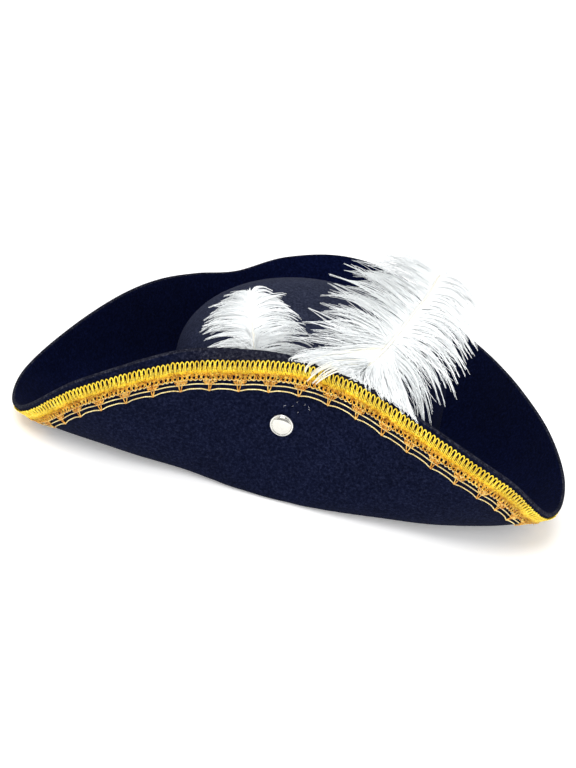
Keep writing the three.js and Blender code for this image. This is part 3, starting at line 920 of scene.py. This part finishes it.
def make_snap():
    near = fold_lines(SNAP["angle"] + SLOPE_TURN * np.array([-1, 0, 1]))

    def at(row, below):
        line, length = near[0][row], near[1][row]
        want = length[-1] - below
        out = np.interp(want, length, line[:, 0])
        up = np.interp(want, length, line[:, 1])
        return in_space(SNAP["angle"] + (row - 1) * SLOPE_TURN, out, up)

    down = at(1, SNAP["below_rim"] + 0.5) - at(1, SNAP["below_rim"] - 0.5)
    side = at(2, SNAP["below_rim"]) - at(0, SNAP["below_rim"])
    normal = unit(np.cross(down, side))
    foot = at(1, SNAP["below_rim"]) + normal * (HALF + SNAP["stand_off"])
    across = unit(np.cross(normal, [0, 0, 1]))
    over = np.cross(across, normal)
    # From the foot's middle out and round the rolled rim, then over the dome.
    r, h, e = SNAP["radius"], SNAP["height"], SNAP["edge"]
    profile = [(0.0, 0.0), (r * 0.9, 0.0), (r * 0.97, 0.15), (r, e * 0.5), (r * 0.985, e * 0.85)]
    profile += [(r * 0.93, e * 1.02), (r * 0.88, e * 0.95)]
    for a in np.radians(90 * np.arange(SNAP_DOME_STEPS + 1) / SNAP_DOME_STEPS):
        profile.append((r * 0.86 * math.cos(a), e * 0.55 + (h - e * 0.55) * 0.98 * math.sin(a)))
    points = []
    for radius, height in profile:
        for a in 2 * math.pi * np.arange(SNAP_SIDES) / SNAP_SIDES:
            radial = across * math.cos(a) + over * math.sin(a)
            points.append(foot + radial * max(radius, 0.01) + normal * height)
    faces = grid_faces(len(profile), SNAP_SIDES, False, True)
    dome = make_piece("snap_dome", points, faces, SNAP_METAL, ["snap_cap"], "snap_cap")
    dome.data.materials.append(SNAP_RIM)
    ring = np.arange(len(faces)) // SNAP_SIDES
    ring = (ring >= SNAP_RIM_RINGS[0]) & (ring <= SNAP_RIM_RINGS[1])
    dome.data.polygons.foreach_set("material_index", ring.astype(np.int32))


make_snap()
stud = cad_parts["snap_stud"]
stud.data.materials.clear()
stud.data.materials.append(STUD_METAL)


# Plumes
# The vanes face up and to the front.
VIEW = np.array([0, -1, 1]) / math.sqrt(2)
QUILL_STEP = 0.004
SHORTEST_BARB = 9


def facing(along):
    """The vane's own facing where its quill runs along: square to the quill."""
    return unit(VIEW - along * (along @ VIEW)[:, None])


def arc(root, bend, end, v):
    """Curves from root to end, drawn towards bend, at the shares v of their way."""
    return root[:, None] * (1 - v) ** 2 + bend[:, None] * 2 * v * (1 - v) + end * v**2


def on_quill(plume, row):
    """A place counted in the quill's rows as a share of the quill."""
    return row / (len(plume["quill"]) - 1)


def spine_of(plume):
    gap = QUILL["clearance"] + QUILL["root"]
    points = []
    for at, out, up, _, _ in plume["quill"]:
        radius = crown_radius(np.array([at]))[0] + gap + out * BRIM["width"]
        points.append(in_space(at, np.array(radius), up * BRIM["width"]))
    return np.array(points)


def reach_of(plume, side, t, turn, scale, sag, lift):
    """Root, bend and end of the barbs on one side of a quill, one for each t."""
    spine = spine_of(plume)
    sides = np.array([row[3:] for row in plume["quill"]], float)
    length = catmull(sides, t, False)[:, side] * BRIM["width"]
    length = np.maximum(length, SHORTEST_BARB) * scale
    root = catmull(spine, t, False)
    ahead = catmull(spine, np.minimum(t + QUILL_STEP, 1), False)
    along = unit(ahead - catmull(spine, t - QUILL_STEP, False))
    face = facing(along)
    right = np.cross(along, face)
    way = -1 if side == 0 else 1
    foot = on_quill(plume, plume["bare"])
    # At the foot the barbs turn back, and towards the tip they turn to follow the quill.
    back = np.clip(1 - (t - foot) / 0.22, 0, 1) ** 1.5 * math.radians(plume["foot_turn"][side])
    tip = np.clip((t - 0.7) / 0.3, 0, 1) ** 2

    def heading(degrees, follow):
        lean = np.radians(degrees) * (1 - follow * tip) + back + turn
        out = along * np.cos(lean)[:, None] + right * (way * np.sin(lean))[:, None]
        return unit(out + face * lift[:, None])

    end = root + heading(plume["angle"][side], 0.3) * length[:, None]
    end[:, 2] -= (plume["droop"][side] + sag) * length
    bend = root + heading(plume["leave"][side], 0.8) * (0.55 * length)[:, None]
    bend += face * (0.07 * length)[:, None]
    return root, bend, end, face


HEIGHTS = np.arange(0, 110.0)
BRIM_OUT = np.array([np.interp(HEIGHTS, line[:, 1], line[:, 0]) for line in BRIM_LINE])
BARB_MARGIN = 0.8
RIM_MARGIN = 1.5


def clear_of_felt(lines):
    """Keep barbs off the crown, and those below the rim inside the brim."""
    points = lines.reshape(-1, 3).copy()
    above = np.maximum(points[:, 2] - CROWN["shoulder"], 0)
    share = np.stack(
        [
            points[:, 0] / (CROWN["half_width"] + BARB_MARGIN),
            points[:, 1] / (CROWN["half_length"] + BARB_MARGIN),
            above / (CROWN["height"] - CROWN["shoulder"] + BARB_MARGIN),
        ],
        1,
    )
    grow = np.maximum(1, 1 / np.maximum(np.linalg.norm(share, axis=1), 0.2))
    points[:, :2] *= grow[:, None]
    points[:, 2] += above * (grow - 1)
    away = np.hypot(points[:, 0], points[:, 1])
    turn = np.degrees(np.arctan2(points[:, 1], points[:, 0])) % 360
    k = np.round(turn / 360 * ROUND).astype(int) % ROUND
    z = np.clip(points[:, 2], 0, len(HEIGHTS) - 2)
    limit = BRIM_OUT[k, np.round(z).astype(int)] - HALF - BARB_MARGIN
    limit = np.where(z < BRIM_LINE[k, -1, 1] + RIM_MARGIN, limit, np.inf)
    points[:, :2] *= (np.minimum(away, limit) / away)[:, None]
    return points.reshape(lines.shape)


BARB_STEPS = 9
BUNCH_PULL = 0.3


def vane(plume, side, strands, per_strand, bunch, local):
    """Barbs that run together into pointed strands, and the strands into looser bunches."""
    foot = on_quill(plume, plume["bare"])
    gap = (1 - foot) / strands
    middle = foot + gap * (np.arange(strands) + 0.5 + local.normal(0, 0.16, strands))
    turn = local.normal(0, 0.09, strands)
    scale = local.uniform(0.78, 1.06, strands)
    sag = local.normal(0, 0.06, strands)
    lift = local.normal(0.03, 0.08, strands)
    _, _, end, _ = reach_of(plume, side, np.clip(middle, 0, 1), turn, scale, sag, lift)
    group = np.arange(strands) // bunch
    for one in range(group.max() + 1):
        mine = group == one
        heart = end[mine].mean(0)
        end[mine] += (heart - end[mine]) * (BUNCH_PULL if bunch > 1 else 0)
    own = np.repeat(np.arange(strands), per_strand)
    count = len(own)
    t = middle[own] + gap * local.uniform(-0.75, 0.75, count)
    t = np.clip(t, foot, 1)
    root, bend, wide, face = reach_of(
        plume,
        side,
        t,
        turn[own] * 0.5 + local.normal(0, 0.04, count),
        scale[own],
        sag[own],
        lift[own] + local.normal(0, 0.05, count),
    )
    tip = end[own] + local.normal(0, 0.3, (count, 3))
    v = np.linspace(0, 1, BARB_STEPS)[None, :, None]
    v = v * (1 - local.uniform(0, 1, (count, 1, 1)) ** 2 * 0.35)
    # The barbs stay side by side at first, and draw together to the strand's point.
    close = np.clip((v - 0.42) / 0.54, 0, 1)
    close = close * close * (3 - 2 * close)
    goal = wide[:, None] + (tip - wide)[:, None] * close
    lines = arc(root, bend, goal, v)
    wave = np.sin(v * local.uniform(4, 9, (count, 1, 1)) + local.uniform(0, 6, (count, 1, 1)))
    across = np.cross(face, unit(tip - root))[:, None]
    lines += across * wave * v * (1.1 - v) * local.normal(0, 1.1, (count, 1, 1))
    return clear_of_felt(lines), face


BARBULE_WIDTH = 0.11


def barbules(lines, face, per_barb, reach, local):
    """Fine down on both sides of each barb, lying forwards: one thin triangle each."""
    n, k, _ = lines.shape
    u = local.uniform(0.02, 1.0, (n, per_barb)) * (k - 1.001)
    i = np.floor(u).astype(int)
    f = (u - i)[..., None]
    rows = np.arange(n)[:, None]
    base = lines[rows, i] * (1 - f) + lines[rows, i + 1] * f
    along = unit(lines[rows, i + 1] - lines[rows, i])
    across = unit(np.cross(along, face[:, None]))
    way = np.where(local.uniform(size=(n, per_barb, 1)) < 0.5, -1.0, 1.0)
    turn = local.normal(0, 0.3, (n, per_barb, 1))
    out = across * way * np.cos(turn) + face[:, None] * np.sin(turn)
    lean = local.uniform(1.2, 2.6, (n, per_barb, 1))
    length = reach * local.uniform(0.5, 1.1, (n, per_barb, 1)) * (1 - 0.8 * (u / k)[..., None])
    tip = base + unit(out + along * lean) * length
    wide = along * BARBULE_WIDTH
    points = np.stack([base - wide, base + wide, tip], 2).reshape(-1, 3)
    faces = np.arange(len(points)).reshape(-1, 3)
    return points, faces


def quads_to_triangles(faces):
    return np.concatenate([faces[:, [0, 1, 2]], faces[:, [0, 2, 3]]])


def feather_mesh(lines, face, thick, thin, per_barb, reach, local):
    """Barbs that taper from thick to thin, with their down, all in triangles."""
    taper = np.linspace(thick, thin, lines.shape[1])[None]
    core, core_faces = tubes(lines, taper, 3, face[:, None])
    fan = barbules(lines, face, per_barb, reach, local)
    return joined([(core, quads_to_triangles(core_faces)), fan])


# The shaft's radii at shares of its length, and how far it stands out in front of the barbs.
SHAFT_SHARES, SHAFT_RADII = (0, 0.25, 0.6, 1), (QUILL["root"], 1.0, 0.8, 0.3)
SHAFT_OUT_SHARES, SHAFT_OUT = (0.3, 0.55), (1.7, 0.3)


def make_plume(name, left, right, per_barb, seed):
    """left and right give each side's strands, its barbs a strand and its strands a bunch."""
    plume = PLUMES[name]
    t = np.linspace(0, 1, 80)
    radius = np.interp(t, SHAFT_SHARES, SHAFT_RADII)[None]
    front = np.interp(t, SHAFT_OUT_SHARES, SHAFT_OUT)[:, None] * VIEW
    shaft, shaft_faces = tubes((catmull(spine_of(plume), t, False) + front)[None], radius, 8)
    node = f"plume_{name}"
    make_piece(f"quill_{name}", shaft, shaft_faces, SHAFT, [node], node)
    for side, word, (strands, per_strand, bunch) in ((0, "left", left), (1, "right", right)):
        local = np.random.default_rng(seed + side)
        lines, face = vane(plume, side, strands, per_strand, bunch, local)
        mesh = feather_mesh(lines, face, 0.3, 0.1, per_barb, 1.5, local)
        make_piece(f"barbs_{name}_{word}", *mesh, FEATHER, (), node, False)


def make_overhang(strands, each, spread, depth, slants, seed, name, material):
    """Strands at the large plume's foot that fall over the rim and onto the braid.

    spread gives the strands' directions on the rim, depth where they end below the braid's
    upper edge, and slants how far they run on to the left meanwhile, or right if below 0."""
    local = np.random.default_rng(seed)
    plume = PLUMES["large"]
    count = strands * each
    own = np.repeat(np.arange(strands), each)
    share = np.sort(local.uniform(0, 1, strands))
    row = 2.05 + 0.85 * share[own] + local.normal(0, 0.07, count)
    root = catmull(spine_of(plume), on_quill(plume, row), False)
    angle = spread[0] + (spread[1] - spread[0]) * share
    run = np.interp(angle, RIM_ANGLES, RIM_RUN) + local.normal(0, 1.5, strands)
    down = local.uniform(depth[0], depth[1], strands)
    over = lace(run[own], np.full(count, -1.0), np.full(count, 1.2))
    over += local.normal(0, 0.9, (count, 3))
    over[:, 2] += local.uniform(1.5, 7, strands)[own]
    slant = local.uniform(*slants, strands)
    end = lace(run - slant, down, local.uniform(1.6, 4.5, strands))
    end = end[own] + local.normal(0, 0.25, (count, 3))
    bend = (over * 3 - root * 0.5 - end * 0.5) / 2
    v = np.linspace(0, 1, 12)[None, :, None]
    lines = arc(root, bend, end[:, None], v)
    face = np.tile(unit(VIEW), (count, 1))
    mesh = feather_mesh(lines, face, 0.26, 0.08, 60, 1.4, local)
    make_piece(name, *mesh, material, (), "plume_large", False)


def make_down(name, place_word, count, spans, leans, length, seed):
    """Short soft barbs along part of a quill.

    spans gives the part in the quill's rows, and leans how far the barbs lean to the left
    at its start and at its end, or to the right if below 0, and by how much they differ."""
    local = np.random.default_rng(seed)
    plume = PLUMES[name]
    share = local.uniform(0, 1, count)
    place = on_quill(plume, spans[0] + (spans[1] - spans[0]) * share)
    spine = spine_of(plume)
    root = catmull(spine, place, False)
    along = unit(catmull(spine, place + QUILL_STEP, False) - root)
    face = facing(along)
    right = np.cross(along, face)
    lean = leans[0] + (leans[1] - leans[0]) * share + local.normal(0, leans[2], count)
    out = along * np.cos(lean)[:, None] - right * np.sin(lean)[:, None]
    out = unit(out + face * local.normal(0.05, 0.16, (count, 1)))
    size = local.uniform(0.4, 1, (count, 1)) * length
    bend = root + out * size * 0.6 + face * size * 0.1
    bend += local.normal(0, 0.028 * length, (count, 3))
    end = root + out * size - [0, 0, 1] * size * 0.12
    end += local.normal(0, 0.07 * length, (count, 3))
    v = np.linspace(0, 1, BARB_STEPS)[None, :, None]
    lines = arc(root, bend, end[:, None], v)
    mesh = feather_mesh(clear_of_felt(lines), face, 0.28, 0.09, 80, 2.0, local)
    make_piece(f"down_{name}_{place_word}", *mesh, FEATHER, (), f"plume_{name}", False)


make_plume("small", (50, 8, 1), (48, 8, 1), 88, 21)
make_plume("large", (92, 8, 1), (96, 9, 2), 78, 42)
make_down("large", "foot", 480, (2.1, 3.3), (2.45, 1.65, 0.22), 36, 77)
make_down("large", "right", 190, (2.1, 3.6), (-2.3, -1.5, 0.3), 38, 79)
make_down("small", "foot", 120, (1.9, 2.9), (0, 0, 1.1), 18, 78)
make_down("small", "tip", 50, (4.7, 5), (0, 0, 0.5), 6, 80)
make_overhang(150, 3, (284, 268.5), (-5, -1), (1, 7), 11, "barbs_over_rim", FEATHER)
make_overhang(100, 3, (282, 297), (-5, -1), (-6, 1), 13, "barbs_over_right", FEATHER)
# These strands lie on the braid and take the painted gold light.
make_overhang(6, 10, (280, 273), (3, 9), (5, 12), 12, "barbs_on_braid", GOLD_LIT_FEATHER)


# Stage
FLOOR_REACH = 30.0
FLOOR_DROP = 0.0002


def make_floor():
    mesh = bpy.data.meshes.new("floor")
    s = FLOOR_REACH
    mesh.from_pydata([(-s, -s, 0), (s, -s, 0), (s, s, 0), (-s, s, 0)], [], [(0, 1, 2, 3)])
    floor = bpy.data.objects.new("floor", mesh)
    scene.collection.objects.link(floor)
    floor.location.z = -FLOOR_DROP
    material, tree, shader = new_material("pale_floor")
    tint = ramp(tree, noise(tree, 3, 2, 0.5), [(0.3, grey(0.93)), (0.7, grey(0.95))])
    tree.links.new(tint, shader.inputs["Base Color"])
    set_inputs(shader, {"Roughness": 0.9, "Specular IOR Level": 0.0})
    # The floor glows a little, like a light table, so that shadows stay pale.
    set_inputs(shader, {"Emission Color": (1, 1, 1, 1), "Emission Strength": 0.25})
    mesh.materials.append(material)


def make_world():
    """A pale studio, dimmer overhead, with a dim wall low in front that the snap mirrors."""
    world = bpy.data.worlds.new("studio")
    world.use_nodes = True
    tree = world.node_tree
    coords = add_node(tree, "ShaderNodeTexCoord")
    parts = add_node(tree, "ShaderNodeSeparateXYZ")
    tree.links.new(coords.outputs["Generated"], parts.inputs["Vector"])
    height = parts.outputs["Z"]
    sky = ramp(tree, height, [(0.0, grey(1)), (0.45, grey(0.95)), (0.85, grey(0.4))])
    ahead = add_node(tree, "ShaderNodeVectorMath", operation="DOT_PRODUCT")
    ahead.inputs[1].default_value = (0.0, -1.0, 0.0)
    tree.links.new(coords.outputs["Generated"], ahead.inputs[0])
    front = ramp(tree, ahead.outputs["Value"], [(0.6, grey(0)), (0.75, grey(1))])
    wall = ramp(tree, height, [(0.4, (0.25, 0.25, 0.26)), (0.5, grey(1))])
    background = tree.nodes["Background"]
    tree.links.new(multiply(tree, sky, wall, front), background.inputs["Color"])
    background.inputs["Strength"].default_value = 0.75
    scene.world = world


def sun(name, place, spread, strength, mirrored):
    """A soft light from the direction of place, even over the whole floor."""
    data = bpy.data.lights.new(name, "SUN")
    data.energy = strength
    data.angle = math.radians(spread)
    light = bpy.data.objects.new(name, data)
    light.rotation_euler = (-Vector(place)).to_track_quat("-Z", "Y").to_euler()
    light.location = place
    light.visible_glossy = mirrored
    scene.collection.objects.link(light)


make_floor()
make_world()
sun("key", (-0.3, -0.6, 1.4), 40, 1.9, True)
sun("fill", (0.4, -1.3, 0.6), 50, 1.6, False)
scene.view_settings.view_transform = "Standard"
